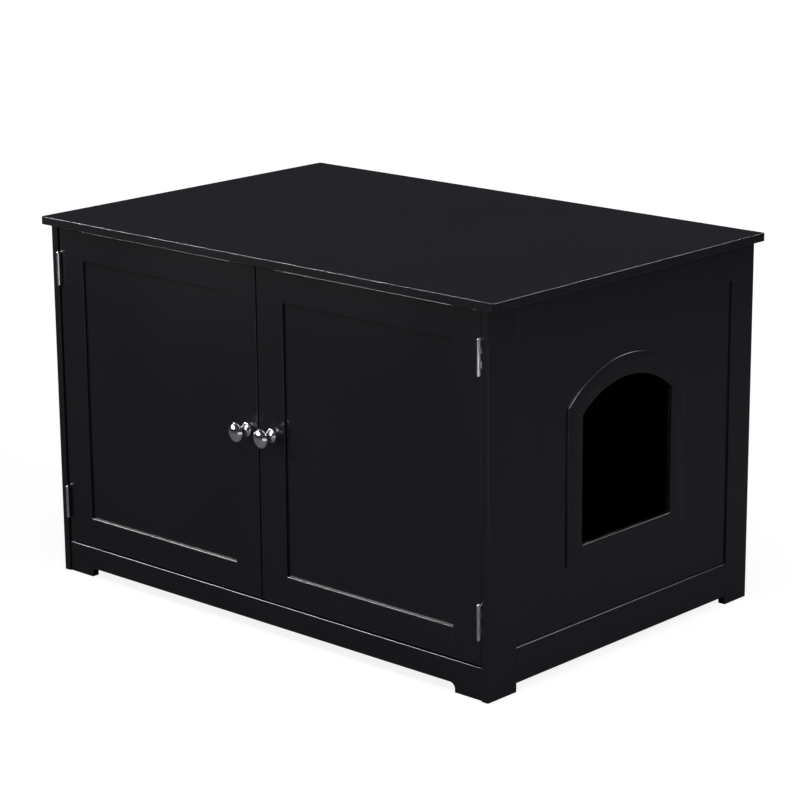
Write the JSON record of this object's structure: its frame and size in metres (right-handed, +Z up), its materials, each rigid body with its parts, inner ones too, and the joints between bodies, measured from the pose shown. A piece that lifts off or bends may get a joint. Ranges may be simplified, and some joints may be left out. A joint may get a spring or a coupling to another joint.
{
  "type": "cat litter box cabinet",
  "caption": "Black cabinet that hides a cat litter box, with framed doors on butt hinges, an arched cat doorway in one side and an overhanging top.",
  "frame": {"origin": "on the floor, under the middle of everything from the knobs to the top board's rear edge and midway between the top board's two ends", "axes": "+X to the right side, which has the cat doorway, -Y to the doors, +Z up"},
  "size_m": [0.9, 0.6226, 0.558],
  "materials": {
    "black_paint": "satin",
    "chrome": "polished",
    "steel": "plated",
    "zinc": "matte",
    "magnet": "satin",
    "catch_plastic": "matte",
    "beech": "raw"
  },
  "bodies": {
    "carcass": {"back_panel": "black_paint", "board_screws": "steel", "bottom_board": "black_paint", "cam_bolts": "zinc", "cam_locks": "zinc", "catch_magnets": "magnet", "catch_screws": "steel", "doorway_trim": "black_paint", "dowels": "beech", "front_apron": "black_paint", "front_stretcher": "black_paint", "left_cabinet_hinge_screws": "steel", "left_front_stile": "black_paint", "left_lower_hinge_cabinet_leaf": "chrome", "left_lower_hinge_pin": "chrome", "left_magnetic_catch": "catch_plastic", "left_rear_stile": "black_paint", "left_side_bottom_rail": "black_paint", "left_side_panel": "black_paint", "left_side_top_rail": "black_paint", "left_upper_hinge_cabinet_leaf": "chrome", "left_upper_hinge_pin": "chrome", "rear_bottom_rail": "black_paint", "rear_stretcher": "black_paint", "right_cabinet_hinge_screws": "steel", "right_front_stile": "black_paint", "right_lower_hinge_cabinet_leaf": "chrome", "right_lower_hinge_pin": "chrome", "right_magnetic_catch": "catch_plastic", "right_rear_stile": "black_paint", "right_side_bottom_rail": "black_paint", "right_side_panel": "black_paint", "right_side_top_rail": "black_paint", "right_upper_hinge_cabinet_leaf": "chrome", "right_upper_hinge_pin": "chrome", "top_board": "black_paint"},
    "left_door": {"left_door_bottom_rail": "black_paint", "left_door_hinge_screws": "steel", "left_door_hinge_stile": "black_paint", "left_door_meeting_stile": "black_paint", "left_door_panel": "black_paint", "left_door_top_rail": "black_paint", "left_knob": "chrome", "left_knob_screw": "steel", "left_lower_hinge_door_leaf": "chrome", "left_strike_plate": "steel", "left_strike_screw": "steel", "left_upper_hinge_door_leaf": "chrome"},
    "right_door": {"right_door_bottom_rail": "black_paint", "right_door_hinge_screws": "steel", "right_door_hinge_stile": "black_paint", "right_door_meeting_stile": "black_paint", "right_door_panel": "black_paint", "right_door_top_rail": "black_paint", "right_knob": "chrome", "right_knob_screw": "steel", "right_lower_hinge_door_leaf": "chrome", "right_strike_plate": "steel", "right_strike_screw": "steel", "right_upper_hinge_door_leaf": "chrome"}
  },
  "joints": [
    {"name": "left_door_hinge", "type": "hinge", "parent": "carcass", "child": "left_door", "pos_m": [-0.4198, -0.28775, 0.29675], "axis": [0, 0, -1], "range_deg": [0, 170]},
    {"name": "right_door_hinge", "type": "hinge", "parent": "carcass", "child": "right_door", "pos_m": [0.4198, -0.28775, 0.29675], "axis": [0, 0, 1], "range_deg": [0, 170]}
  ]
}
